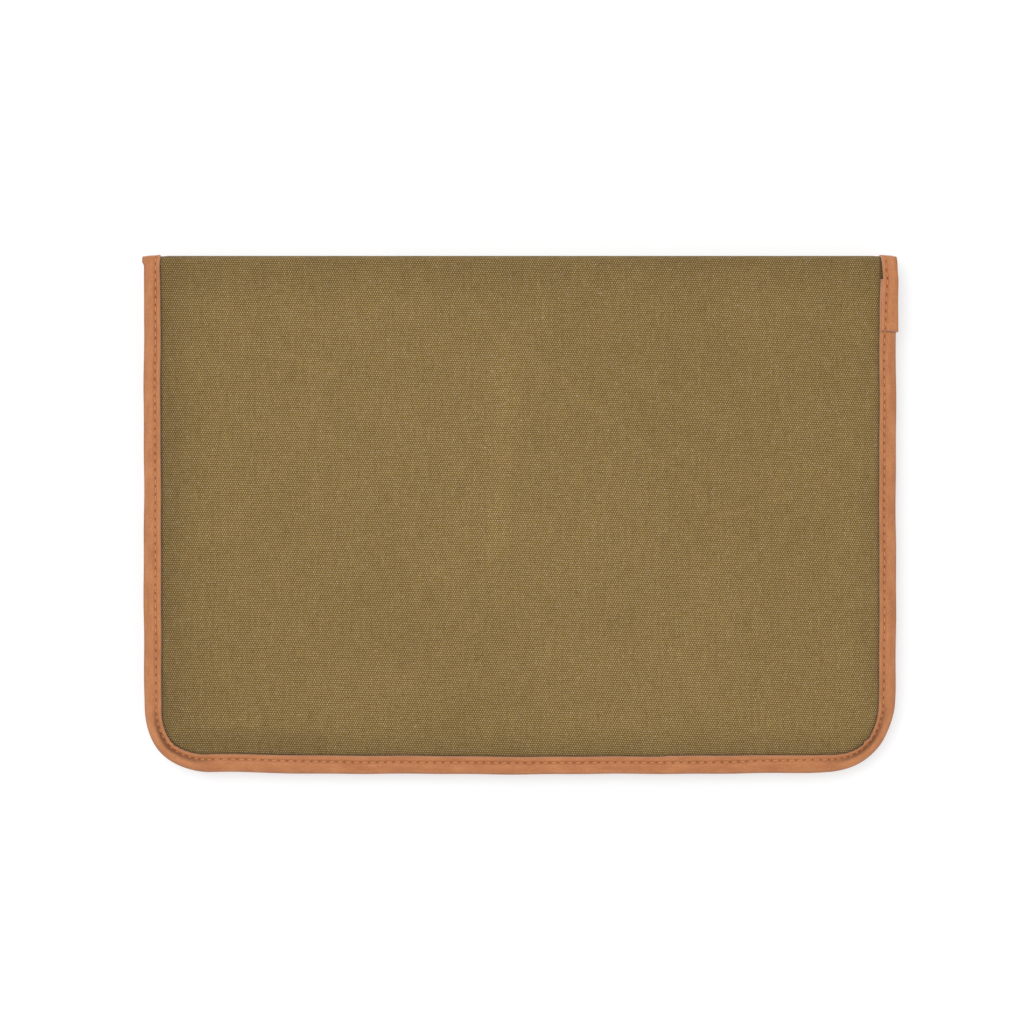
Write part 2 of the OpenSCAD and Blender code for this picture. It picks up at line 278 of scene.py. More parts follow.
def layer_grids(rows, columns, profile):
    """Grids of (x, y, depth) for one face of a layer: left, right and bottom edge and the
    middle. The profile gives (d, depth) from the edge to the middle."""
    d, depth = np.array(profile).T
    x, y = along(rows[:, None], d[None, :])
    left = [x, y, np.broadcast_to(depth, x.shape)]
    right = [-x, y, left[2]]
    bx, by = along(SIDE + ARC + columns[:, None] - columns[0], d[None, :])
    bottom = [bx, by, np.broadcast_to(depth, bx.shape)]
    share = 1 - 2 * (columns - columns[0]) / (columns[-1] - columns[0])
    mx = x[:, -1:] * share[None, :]
    my = np.broadcast_to(y[:, -1:], mx.shape)
    middle = [mx, my, np.full(mx.shape, depth[-1])]
    return {"left": left, "right": right, "bottom": bottom, "middle": middle}


def outside_windows(grid, windows):
    x, y = grid[0], grid[1]
    cx = (x[:-1, :-1] + x[1:, 1:]) / 2
    cy = (y[:-1, :-1] + y[1:, 1:]) / 2
    keep = np.ones(cx.shape, bool)
    for x0, x1, y0, y1 in windows:
        keep &= ~((cx > x0) & (cx < x1) & (cy > y0) & (cy < y1))
    return keep


def window_walls(mesh, upper, lower, flat, keep):
    """Closes the rims of the windows between the two faces of a layer."""
    for i, j in np.argwhere(~keep):
        corners = [(i, j), (i + 1, j), (i + 1, j + 1), (i, j + 1), (i, j)]
        beside = [(i, j - 1), (i + 1, j), (i, j + 1), (i - 1, j)]
        for k in range(4):
            if keep[beside[k]]:
                two = [corners[k], corners[k + 1]]
                rim = np.array([[upper[c] for c in two], [lower[c] for c in two]])
                mesh.grid(rim, np.array([[flat[c] for c in two]] * 2))


def panel_flat(grid):
    """Flat coordinates of a layer's points and their distance from the strip's outer edge,
    set so that the strip's inner edge always falls at its nominal width."""
    s, d = along_of(grid[0], grid[1])
    return np.stack([grid[0], grid[1], d - strip_shift(s, d)], -1)


def layer_lines(start, step, windows, reach):
    """Lengths of a layer's rows and places of its columns, with lines at each window."""
    rows = side_rows(start, step)
    columns = np.linspace(-BASE / 2, BASE / 2, int(BASE / step) + 1)
    if windows:
        widen = (HALF_W - reach) / (BASE / 2)
        edges = [v / widen for w in windows for v in w[:2]]
        columns = np.unique(np.concatenate([columns, edges]).round(6))
        levels = [FLAT_TOP - v for v in windows[0][2:]]
        rows = np.unique(np.concatenate([rows, levels]).round(6))
    return rows, columns


def add_region(mesh, name, faces, points, windows, flat_of):
    """One region of both faces of a layer, with the rims that close it."""
    flats = [flat_of(grids[name]) for grids in faces]
    upper, lower = points[0][name], points[1][name]
    keep = outside_windows(faces[0][name], windows) if name == "middle" else None
    mesh.grid(upper, flats[0], keep)
    mesh.grid(lower, flats[1], keep)
    if name == "middle":
        window_walls(mesh, upper, lower, flats[0], keep)
    else:
        mesh.grid(np.stack([upper[:, 0], lower[:, 0]]), np.stack([flats[0][:, 0]] * 2))
    if name != "bottom":
        mesh.grid(np.stack([upper[0], lower[0]]), np.stack([flats[0][0]] * 2))


def layer(profiles, start, place, step, windows=(), fits=(None, None), flat_of=panel_flat):
    """A closed layer between two faces, each given as a profile of (d, depth)."""
    rows, columns = layer_lines(start, step, windows, profiles[0][-1][0])
    faces = []
    for profile, fit in zip(profiles, fits, strict=True):
        grids = layer_grids(rows, columns, profile)
        faces.append({k: fit(v) if fit else v for k, v in grids.items()})
    points = [{k: place(*v) for k, v in grids.items()} for grids in faces]
    mesh = Mesh()
    for name in faces[0]:
        add_region(mesh, name, faces, points, windows, flat_of)
    return mesh


MID_CORNER = SIDE + ARC / 2
CORNER_END = SIDE + ARC
# The flap strip's inner edge and seam aren't quite even: how far in they run at each length
# from the fold, down the left to the middle of the bottom and the same on the right
WIDTH_LEFT = {
    -4: 7.7, 1: 7.4, 8: 7.6, 36: 8.0, 86: 8.2, 146: 8.5, SIDE: 8.4, MID_CORNER: 7.1,
    CORNER_END: 8.8, CORNER_END + 20: 8.7, LENGTH / 2: 8.2,
}
WIDTH_RIGHT = {
    7: 7.1, 16: 7.5, 39: 7.9, 83: 8.1, SIDE: 8.1, MID_CORNER - 14: 7.5, MID_CORNER - 9: 7.3,
    MID_CORNER - 2.2: 6.7, MID_CORNER - 1: 7.5, MID_CORNER + 0.3: 7.6, MID_CORNER + 1.5: 6.7,
    MID_CORNER + 9: 7.2, CORNER_END: 8.5, LENGTH / 2 - 67: 8.5, LENGTH / 2 - 65: 8.15,
}
SEAM_LEFT = {
    0: 5.5, 100: 5.6, SIDE - 6: 6.0, MID_CORNER: 5.3, CORNER_END + 3: 6.4, CORNER_END + 20: 6.3,
    CORNER_END + 70: 5.5,
}
SEAM_RIGHT = {
    -1: 4.9, 7: 4.2, 21: 4.9, 30: 5.3, 41: 5.8, SIDE - 20: 5.8, SIDE - 4: 6.0,
    MID_CORNER: 5.3, CORNER_END + 8: 6.4, CORNER_END + 55: 5.4,
}


def from_ends(s, left, right):
    down_left = np.interp(s, list(left), list(left.values()))
    down_right = np.interp(LENGTH - s, list(right), list(right.values()))
    return np.where(s < LENGTH / 2, down_left, down_right)


def strip_width(s):
    eased = 0.14 * np.sin(s * 1.85) * at_corners(s)
    return from_ends(s, WIDTH_LEFT, WIDTH_RIGHT) + eased


def strip_shift(s, d):
    """How much further in than usual the strip's inner edge runs, felt near that edge."""
    return (strip_width(s) - STRIP_W) * bump(d, 9, 6)


def seam_place(s):
    return from_ends(s, SEAM_LEFT, SEAM_RIGHT)


def at_corners(s):
    t = np.minimum(s, LENGTH - s)
    return bump(t, MID_CORNER, 13)


def along_of(x, y):
    t, d, _, _ = edge_frame(x, y)
    return np.where(x < 0, t, LENGTH - t), d


def canvas_depth(d):
    """Depth of the canvas's outer face: held down under the strip, then swelling."""
    return LEATHER * (1 - 0.72 * smooth(d, 8.4, 10.6) - 0.28 * smooth(d, 9.5, 14))


def lining_depth(d):
    return CANVAS + LEATHER + 0.2 * smooth(d, 10.8, 14)


def flap_fit(outer):
    """Sets a layer's depths on the flap, where the swell starts at the strip's real edge."""

    def fit(grid):
        x, y, _ = grid
        s, d = along_of(x, y)
        at_fold = 1 - smooth(FLAT_TOP - y, 0, 9)
        return [x, y, outer(d - strip_shift(s, d) + 1.7 * at_fold)]

    return fit


# Distances in from the edge at which cloth and felt have their lines
EDGE_D = [1.0, 4.0, 6.6, 7.4, 8.0, 8.5, 9.0, 9.6, 10.3, 11.2, 12.3, 14.0, 16.5, 20.0, 24.0]
PAD_D = [8.9, 9.3, 9.8, 10.4, 11.2, 12.3, 14.0, 16.5, 20.0, 24.0]


def panel_layer(outer, inner, place, distances, step, windows=()):
    """A layer of the half panel. The two depth functions give its faces."""
    profiles = [[(d, float(f(np.array(d)))) for d in distances] for f in (outer, inner)]
    fits = (flap_fit(outer), flap_fit(inner)) if place is on_flap else (None, None)
    return layer(profiles, -TO_SPINE, place, step, windows, fits)


# ---- Front wall ----

# Where the wall's side meets its face, how steep the side is, and where its flat starts
SHOULDER_D = 14.8
SHOULDER_ANGLE = math.radians(85)
WALL_END_D = 16.8


def wall_side(z0, z1, a, b):
    """Side of the front wall in (d, z): an arc at the foot, a slope and a shoulder arc."""
    turn = 1 - math.cos(SHOULDER_ANGLE)
    slope = (z1 - z0 - (a + b) * turn) / math.sin(SHOULDER_ANGLE)
    run = (a + b) * math.sin(SHOULDER_ANGLE) + slope * math.cos(SHOULDER_ANGLE)
    t = np.linspace(0, SHOULDER_ANGLE, 8)
    foot = np.stack([SHOULDER_D - run + a * np.sin(t), z0 + a - a * np.cos(t)], -1)
    top = np.stack([SHOULDER_D - b * np.sin(t[::-1]), z1 - b + b * np.cos(t[::-1])], -1)
    middle = [foot[-1] * (1 - f) + top[0] * f for f in (0.25, 0.5, 0.75)]
    return np.concatenate([foot, middle, top])


def lining_face(grow):
    return wall_side(FLANGE + grow, WALL_TOP - PANEL + grow, 1.5 - grow, 2 + grow)


def canvas_face(grow):
    z0 = FLANGE + LINING + CANVAS + grow
    return wall_side(z0, WALL_TOP + grow, 1.2 - grow, 2 + PANEL + grow)


def wall_profile(face, flange):
    """The wall's side with its flange under the strip and the start of its flat."""
    start = [(LEATHER, face[0][1]), (6.0, face[0][1])] if flange else []
    return start + [tuple(p) for p in face] + [(WALL_END_D, face[-1][1])]


def wall_flat(grid):
    """Flat coordinates of the wall's cloth, with its steep sides laid out flat."""
    x, y, z = grid
    _, d, nx, ny = edge_frame(x, y)
    drop = z.max() - z
    return np.stack([x - nx * drop, y - ny * drop, d], -1)


def wall_place(x, y, z):
    _, d, _, _ = edge_frame(x, y)
    waves = np.sin(x / 29 + 1) * np.sin(y / 37) + 0.5 * np.sin(x / 12 - y / 19)
    soft = 0.12 * waves * smooth(d, 15, 40) * smooth(MOUTH - y, 10, 40)
    return upright(x, y, z - np.abs(soft))


# ---- Leather strips ----

# The outer face of a strip from its nose to its cut edge, as (d, depth, share of puff)
FACE = [
    (0.12, 0.62, 0), (0.45, 0.26, 0), (1.0, 0.06, 0), (1.7, 0, 0.6), (2.5, 0, 1), (3.3, 0, 0.95),
    (4.0, 0, 0.6), (4.6, 0, 0.1), (5.05, 0.12, 0), (5.5, 0.2, 0), (5.95, 0.12, 0), (6.4, 0, 0.1),
    (7.0, 0, 0.3), (7.6, 0, 0.1), (7.92, 0.03, 0),
]
NOSE_POINTS = 3
PUFF = 0.42
# How much deeper the seam is pulled in round the corners
FLAP_CORNER_PULL = 0.9
POCKET_CORNER_PULL = 0.4


def face_depths(thickness, puff, valley):
    """Depths of the outer face's points for each ring, given as columns."""
    rows = []
    for i, (d, depth, share) in enumerate(FACE):
        if i < NOSE_POINTS:
            rows.append(depth * thickness / 2)
        else:
            sunk = depth * 2.1 * valley if 4.8 < d < 6.2 else depth
            rows.append(sunk - share * PUFF * puff)
    return np.stack(rows, -1)


def strip_loop(thickness, puff_out, puff_in, valley, hollow_d, hollow_0, hollow_1, lift):
    """Closed sections of a folded strip: (d, depth) for every ring. Each value is one number
    or one for each ring. lift moves both faces outwards."""
    thickness, puff_out, puff_in, valley, hollow_d, hollow_0, hollow_1, lift = np.broadcast_arrays(
        thickness, puff_out, puff_in, valley, hollow_d, hollow_0, hollow_1, lift
    )
    zero = 0 * thickness
    face_d = np.array([p[0] for p in FACE])
    out = face_depths(thickness, puff_out, valley) - lift[:, None]
    inn = thickness[:, None] - face_depths(thickness, puff_in, valley) + lift[:, None]
    d_face = zero[:, None] + face_d
    edge_d = zero + STRIP_W
    cavity = [
        (edge_d, hollow_0 - 0.12), (edge_d - 0.1, hollow_0), (zero + 5, hollow_0),
        (hollow_d, hollow_0), (hollow_d, hollow_1), (zero + 5, hollow_1),
        (edge_d - 0.1, hollow_1), (edge_d, hollow_1 + 0.12),
    ]
    cd = np.stack([c[0] for c in cavity], -1)
    cn = np.stack([c[1] + zero for c in cavity], -1)
    nose_d, nose_n = zero[:, None], (thickness / 2)[:, None]
    d = np.concatenate([nose_d, d_face, cd, d_face[:, ::-1]], 1)
    n = np.concatenate([nose_n, out, cn, inn[:, ::-1]], 1)
    return d, n


def cut_edge_kinds():
    """Material of each stretch of the section: 1 where the leather's cut edge shows."""
    first = len(FACE)
    kinds = np.zeros(1 + 2 * len(FACE) + 8, int)
    kinds[first:first + 2] = 1
    kinds[first + 6:first + 8] = 1
    return kinds


def fit_distance(d, outer, seam, width):
    """Moves a nominal distance so that the edge, the seam and the cut edge fall right."""
    low = outer[:, None] + d * (seam - outer)[:, None] / SEAM
    high = seam[:, None] + (d - SEAM) * (width - seam)[:, None] / (STRIP_W - SEAM)
    return np.where(d < SEAM, low, high)


def strip_mesh(s, d, n, real_d, place, slant=None):
    """Sweeps the sections along the edge and closes both ends."""
    sweep = np.broadcast_to(s[:, None], d.shape)
    if slant is not None:
        sweep = sweep + slant
    x, y = along(sweep, real_d)
    points = place(x, y, n)
    flat = np.stack([np.broadcast_to(s[:, None], d.shape), d, n], -1)
    mesh = Mesh()
    mesh.tube(points, flat, 1, cut_edge_kinds()[None, :])
    return mesh


def ring_places(start, end, step=0.95):
    return np.linspace(start, end, int(abs(end - start) / step) + 1)


def puckers(s, d):
    """Small gathers across the strip's lip, where it is eased round a corner."""
    lip = smooth(d, 5.2, 6.4) * (1 - smooth(d, 7.9, 8.3))
    gathers = np.sin(s * 2.9) + 0.6 * np.sin(s * 1.7 + 1)
    return 0.16 * gathers * lip * at_corners(s)


def hand_waves(s, d):
    """The strip's face isn't even along its length: it rolls and sinks a little."""
    face = smooth(d, 0.8, 2.0) * (1 - smooth(d, 4.4, 5.2))
    pulls = 0.05 * np.cos(2 * math.pi * s / PITCH) * bump(d, 5.5, 1.2)
    return 0.07 * np.sin(s / 4.1) * np.sin(s / 17.3 + 1) * face + pulls


def past_fold(s):
    """1 on the flat of the flap or back and 0 over the fold and the spine."""
    return smooth(np.minimum(s, LENGTH - s), -1.5, 4)


def fold_lean(s, d, n):
    """Over the fold the strip stands out at its inner edge and falls back at its outer."""
    lean = 0.2 - 0.7 * d / STRIP_W
    square = 0.9 * np.minimum(0, 0.1 - n) * (d < 0.9)
    return n + (lean + square) * (1 - past_fold(s)) * (n < STRIP_T / 2)


def lapped_lift(down):
    """How far the lapped end stands out over the first, at a length down from the fold."""
    return THIN_LEATHER * smooth(down, 3, COVERED)


def pocket_growth(s):
    """0 over the spine and 1 along the pocket, where the strip holds the front wall too."""
    return smooth(np.minimum(s, LENGTH - s), -1, 2.5)


def flap_strip():
    s = ring_places(-TO_SPINE, LENGTH - COVERED)
    covered = smooth(LENGTH - s, TAIL - 1, TAIL + 5)
    puff = (0.25 + 0.75 * past_fold(s)) * covered * (1 + 0.7 * at_corners(s))
    valley = (1 + FLAP_CORNER_PULL * at_corners(s)) * past_fold(s)
    d, n = strip_loop(STRIP_T, puff, 0.4 * puff, valley, LEATHER, LEATHER, FLANGE, 0.0)
    outer_half = n < STRIP_T / 2
    n = n - (puckers(s[:, None], d) + hand_waves(s[:, None], d) * covered[:, None]) * outer_half
    n = fold_lean(s[:, None], d, n)
    real = fit_distance(d, 0 * s, seam_place(s), strip_width(s))
    return strip_mesh(s, d, n, real, on_flap)


def tail_strip():
    """The strip's other end, which comes over the fold and laps over the first end."""
    s = ring_places(LENGTH + TO_SPINE, LENGTH - TAIL, 0.8)
    down = LENGTH - s
    lift = lapped_lift(down)
    swap = smooth(down, COVERED - 4, COVERED)
    hollow_d = LEATHER * (1 - swap) - 0.06 * swap
    hollow_0 = LEATHER * (1 - swap) - 0.05 * swap
    hollow_1 = FLANGE * (1 - swap) + (STRIP_T + 0.05) * swap
    puff = 0.2 + 0.5 * past_fold(s)
    d, n = strip_loop(
        STRIP_T, puff, 0.3 * puff, past_fold(s), hollow_d, hollow_0, hollow_1, lift
    )
    n = fold_lean(s[:, None], d, n)
    outer = np.interp(down, [-10, -4, 7, 30], [0, -0.46, -1.1, -1.05])
    width = np.interp(down, [-10, -4, 5, 30], [8, 7, 6.1, 6.9])
    real = fit_distance(d, outer, seam_place(s), width)
    real = np.where(d == hollow_d[:, None], hollow_d[:, None], real)
    end = bump(down, TAIL, 1.2)[:, None]
    bevel = 0.45 * np.clip(n + lift[:, None], 0, 1)
    slant = -end * (0.6 * (1 - d / STRIP_W) + bevel)
    return strip_mesh(s, d, n, real, on_flap, slant)


def pocket_strip():
    s = ring_places(-TO_SPINE, LENGTH + TO_SPINE)
    grown = pocket_growth(s)
    thickness = STRIP_T + (POCKET_STRIP_T - STRIP_T) * grown
    hollow_1 = FLANGE + (POCKET_FLANGE - FLANGE) * grown
    valley = (1 + POCKET_CORNER_PULL * at_corners(s)) * past_fold(s)
    puff = 0.9 * past_fold(s)
    d, n = strip_loop(thickness, 0.0, puff, valley, LEATHER, LEATHER, hollow_1, 0.0)
    upper = n > thickness[:, None] / 2
    n = n + (puckers(s[:, None], d) + hand_waves(s[:, None], d)) * upper * (d < 8)
    real = fit_distance(d, 0 * s, SEAM + 0 * s, STRIP_W + 0 * s)
    return strip_mesh(s, d, n, real, on_back)


# The mouth strip's section, as places up from the mouth and heights off the wall's face
MOUTH_SECTION = [
    (-8.2, 0.06), (-7.95, 0.72), (-7.2, 0.82), (-6.2, 0.8), (-5.5, 0.62), (-5.0, 0.5),
    (-4.5, 0.62), (-3.6, 0.86), (-2.2, 0.98), (-0.8, 0.92), (0.2, 0.7), (0.7, 0.2), (0.8, -0.9),
]


def mouth_path(face):
    """The (x, z) line that one face of the front wall makes at the mouth."""
    half = np.concatenate([face[10:], [[WALL_END_D, face[-1][1]]]])
    left = np.stack([half[:, 0] - HALF_W, half[:, 1]], -1)
    reach = HALF_W - WALL_END_D
    flat_x = np.linspace(-reach, reach, 84)[1:-1]
    flat = np.stack([flat_x, np.full(flat_x.shape, face[-1][1])], -1)
    return np.concatenate([left, flat, left[::-1] * [-1, 1]])


def mouth_strip():
    """Leather folded over the front wall's upper edge, following the wall's section."""
    paths = [mouth_path(canvas_face(0)), mouth_path(lining_face(0))]
    tangent = np.gradient(paths[0], axis=0)
    normal = np.stack([-tangent[:, 1], tangent[:, 0]], -1)
    normal /= np.linalg.norm(normal, axis=1)[:, None]
    run = np.cumsum(np.linalg.norm(np.diff(paths[0], axis=0), axis=1))
    s = np.concatenate([[0], run]) - run[-1] / 2
    rows = [(0, y, g) for y, g in MOUTH_SECTION]
    rows += [(1, y, g) for y, g in reversed(MOUTH_SECTION[:-1])]
    rows += [(1, -8.1, 0.0), (1, 0.0, 0.0), (0, 0.0, 0.0), (0, -8.1, 0.0)]
    points, flat = [], []
    for which, y, g in rows:
        at = paths[which] + normal * g * (1 if which == 0 else -1)
        edge = MOUTH + y + 0.08 * np.sin(s / 9) * (y < -7)
        points.append(np.stack([at[:, 0], edge, at[:, 1]], -1))
        flat.append(np.stack([s, 0 * s - y + 0.5, 0 * s + which * 3 + g], -1))
    mesh = Mesh()
    kinds = np.zeros(len(rows), int)
    kinds[[0, 2 * len(MOUTH_SECTION) - 3]] = 1
    mesh.tube(np.stack(points, 1), np.stack(flat, 1), 1, kinds[None, :])
    return mesh


# ---- Stitches ----

def capsule(length, thickness, sides=7):
    """Points of one stitch as (along, across, up), in rings from end to end."""
    share = np.array([-1, -0.93, -0.75, -0.4, 0, 0.4, 0.75, 0.93, 1])
    radius = thickness / 2 * np.sqrt(np.maximum(0.004, 1 - np.abs(share) ** 3.2))
    angle = np.linspace(0, 2 * math.pi, sides, endpoint=False)
    run = np.repeat((share * length / 2)[:, None], sides, 1)
    dip = 0.22 * np.abs(share[:, None]) ** 3
    return run, radius[:, None] * np.cos(angle), 0.8 * radius[:, None] * np.sin(angle) - dip, angle


def stitch_row(starts, seed, where):
    """One mesh of separate stitches. where(s, across, up) gives the points in space."""
    chance = np.random.default_rng(seed)
    mesh = Mesh()
    for s in starts:
        run, across, up, angle = capsule(STITCH + chance.uniform(-0.15, 0.15), THREAD)
        skew = 0.12 + chance.uniform(-0.05, 0.05)
        flat = np.stack([run, np.broadcast_to(angle, run.shape), 0 * run + chance.uniform(0, 9)], -1)
        mesh.tube(where(s + run, across + skew * run, up), flat, 0)
    return mesh


def stitch_starts(start, end):
    first = math.ceil(start / PITCH - 0.5) + 0.5
    return np.arange(first, end / PITCH, 1) * PITCH


def flap_stitch_place(outward):
    def where(s, across, up):
        down = LENGTH - s
        lift = lapped_lift(down) * (down < TAIL)
        valley = SEAM_DEPTH * (1 + FLAP_CORNER_PULL * at_corners(s)) * past_fold(s)
        depth = valley - lift - 0.1 + 0.2 * at_corners(s) - up
        if not outward:
            depth = STRIP_T - depth
        x, y = along(s, seam_place(s) + across)
        return on_flap(x, y, depth)

    return where


def pocket_stitch_place(outward):
    def where(s, across, up):
        thickness = STRIP_T + (POCKET_STRIP_T - STRIP_T) * pocket_growth(s)
        valley = SEAM_DEPTH * (1 + POCKET_CORNER_PULL * at_corners(s)) * past_fold(s)
        depth = valley - 0.05 * (not outward) - up
        depth = np.maximum(depth, 0.06) if outward else thickness - depth
        x, y = along(s, SEAM + across)
        return on_back(x, y, depth)

    return where


def mouth_stitch_place(level, sign):
    def where(s, across, up):
        return upright(s, MOUTH - MOUTH_SEAM + across, level + sign * (up + 0.6))

    return where


# ---- Materials ----

def linear(*colour):
    """A colour given in 0 to 255 as shown on a screen, for a shader's socket."""
    shown = [c / 255 for c in colour]
    made = [c / 12.92 if c <= 0.04045 else ((c + 0.055) / 1.055) ** 2.4 for c in shown]
    return (*made, 1.0)


class Shader:
    """A material's node tree, with a short method for each kind of node in use."""

    def __init__(self, name, roughness, attribute=None, **sockets):
        self.material = bpy.data.materials.new(name)
        self.material.use_nodes = True
        self.tree = self.material.node_tree
        self.surface = self.tree.nodes["Principled BSDF"]
        self.surface.inputs["Roughness"].default_value = roughness
        for key, value in sockets.items():
            self.surface.inputs[key.replace("_", " ")].default_value = value
        if attribute:
            self.flat = self.node("Attribute", attribute_name=attribute).outputs["Vector"]
            parts = self.node("SeparateXYZ")
            self.feed(parts.inputs[0], self.flat)
            self.parts = list(parts.outputs)

    def node(self, kind, **settings):
        made = self.tree.nodes.new("ShaderNode" + kind)
        for key, value in settings.items():
            setattr(made, key, value)
        return made

    def feed(self, socket, value):
        if isinstance(value, bpy.types.NodeSocket):
            self.tree.links.new(value, socket)
        else:
            socket.default_value = value

    def math(self, operation, *values, clamp=False):
        made = self.node("Math", operation=operation, use_clamp=clamp)
        for socket, value in zip(made.inputs, values, strict=False):
            self.feed(socket, value)
        return made.outputs[0]

    def times(self, a, b):
        return self.math("MULTIPLY", a, b)

    def gap(self, a, b):
        return self.math("ABSOLUTE", self.math("SUBTRACT", a, b))

    def vector(self, operation, *values, scale=None):
        made = self.node("VectorMath", operation=operation)
        for socket, value in zip(made.inputs, values, strict=False):
            self.feed(socket, value)
        if scale is not None:
            self.feed(made.inputs["Scale"], scale)
        return made.outputs["Value" if operation in ("DOT_PRODUCT", "DISTANCE") else "Vector"]

    def step(self, value, low, high, to_low=0.0, to_high=1.0):
        made = self.node("MapRange", interpolation_type="SMOOTHSTEP")
        for socket, item in zip(made.inputs, (value, low, high, to_low, to_high), strict=False):
            self.feed(socket, item)
        return made.outputs[0]

    def noise(self, vector, scale, detail=2.0, roughness=0.5):
        made = self.node("TexNoise")
        self.feed(made.inputs["Vector"], vector)
        made.inputs["Scale"].default_value = scale
        made.inputs["Detail"].default_value = detail
        made.inputs["Roughness"].default_value = roughness
        return made.outputs[0]

    def stretched(self, x, y, z=1.0):
        return self.vector("MULTIPLY", self.flat, (x, y, z))

    def mix(self, share, a, b):
        made = self.node("Mix", data_type="RGBA")
        self.feed(made.inputs[0], share)
        self.feed(made.inputs[6], a)
        self.feed(made.inputs[7], b)
        return made.outputs[2]

    def centred(self, value, amount):
        return self.times(self.math("SUBTRACT", value, 0.5), amount)

    def total(self, *values):
        made = values[0]
        for value in values[1:]:
            made = self.math("ADD", made, value)
        return made

    def colour(self, value, gain=None):
        if gain is not None:
            value = self.vector("SCALE", value, scale=gain)
        self.feed(self.surface.inputs["Base Color"], value)

    def relief(self, height, distance, strength):
        made = self.node("Bump")
        made.inputs["Distance"].default_value = distance
        made.inputs["Strength"].default_value = strength
        self.feed(made.inputs["Height"], height)
        self.feed(self.surface.inputs["Normal"], made.outputs[0])


# Where use has rubbed the flap's canvas lighter: two ends, half width and strength, in mm
WEAR = [
    ((-5, 78), (-11, -14), 9, 0.08), ((2, 75), (91, 2), 4, 0.05), ((89, -1), (128, 10), 2.5, 0.08),
    ((82, -5), (103, -12), 3, 0.06), ((94, -55), (98, -49), 2, 0.08), ((16, -48), (9, -75), 3, 0.05),
    ((5, 115), (13, 84), 3, 0.06), ((-118, 75), (-82, 66), 4, 0.06), ((-110, 64), (-108, 62), 3, 0.06),
    ((-91, -14), (-50, -7), 2, 0.05), ((-60, 40), (70, -60), 90, 0.06),
]
# Painted shade, as darker strokes along the left edge, low on the left and along the top by the fold
PAINTED_SHADE_STROKES = [
    ((-150, -102), (-92, -104), 9, -0.10), ((-96, 116), (-44, 116), 5, -0.05),
    ((35, 116), (158, 116), 5, -0.06), ((-162, 90), (-162, -90), 16, -0.06),
]


def line_marks(shader, marks):
    """The sum of soft strokes, each along its own line."""
    spread = shader.node("TexNoise")
    shader.feed(spread.inputs["Vector"], shader.flat)
    spread.inputs["Scale"].default_value = 0.12
    spread.inputs["Detail"].default_value = 3.0
    shift = shader.vector("SUBTRACT", spread.outputs["Color"], (0.5, 0.5, 0.5))
    shift = shader.vector("SCALE", shift, scale=7.0)
    place = shader.vector("MULTIPLY", shader.vector("ADD", shader.flat, shift), (1, 1, 0))
    strokes = []
    for (ax, ay), (bx, by), width, strength in marks:
        run = (bx - ax, by - ay, 0)
        length = math.hypot(*run)
        offset = shader.vector("SUBTRACT", place, (ax, ay, 0))
        share = shader.vector("DOT_PRODUCT", offset, tuple(v / length**2 for v in run))
        share = shader.math("ADD", share, 0.0, clamp=True)
        gap = shader.vector("DISTANCE", offset, shader.vector("SCALE", run, scale=share))
        strokes.append(shader.step(gap, 0.0, float(width), strength, 0.0))
    return shader.total(*strokes)


# Gaps between the canvas's warps and between its wefts
END_GAP = 0.53
PICK_GAP = 1.0


def canvas_weave(m, x, y):
    """Heights of a plain weave, whose rows lie a little askew, and of its wefts alone."""
    drift = m.centred(m.noise(m.stretched(1, 1, 0), 0.35), 0.35)
    sway = m.centred(m.noise(m.stretched(1, 0.25, 0), 0.9), 0.22)
    slope = m.times(x, m.math("MULTIPLY_ADD", x, 0.000038, 0.0362))
    row = m.total(y, slope, drift)
    ends = m.math("COSINE", m.times(m.total(x, sway), math.pi / END_GAP))
    picks = m.math("COSINE", m.times(row, math.pi / PICK_GAP))
    return m.times(ends, picks), picks


def canvas_gain(m, x, y, d):
    """How light the cloth is, apart from its weave: random clouds of tone, and painted shade along the
    edges, on the left, towards the bottom, beside the strip and over the fold.
    """
    blotch = m.centred(m.noise(m.flat, 0.02, 4, 0.6), 0.22)
    cloud = m.centred(m.noise(m.stretched(1, 1, 0), 0.09, 3, 0.6), 0.16)
    # Painted shadow: a dark line on the cloth just inside the strip's raised inner edge.
    beside = m.step(d, 8.2, 9.4, -0.34, 0.0)
    # Painted shade: the cloth darker towards the left side, towards the bottom and along all its
    # edges.
    left = m.step(x, -164.0, -130.0, -0.10, 0.0)
    bottom = m.step(y, BOTTOM + 8, BOTTOM + 28, -0.07, 0.0)
    edge = m.total(beside, m.step(d, 8.0, 22.0, -0.07, 0.0), left, bottom)
    # Painted shade where the cloth turns over the fold.
    roll_shading = m.step(y, FLAT_TOP - 22, FLAT_TOP, 0.0, -0.10)
    return m.total(blotch, cloud, edge, roll_shading, 1.0)


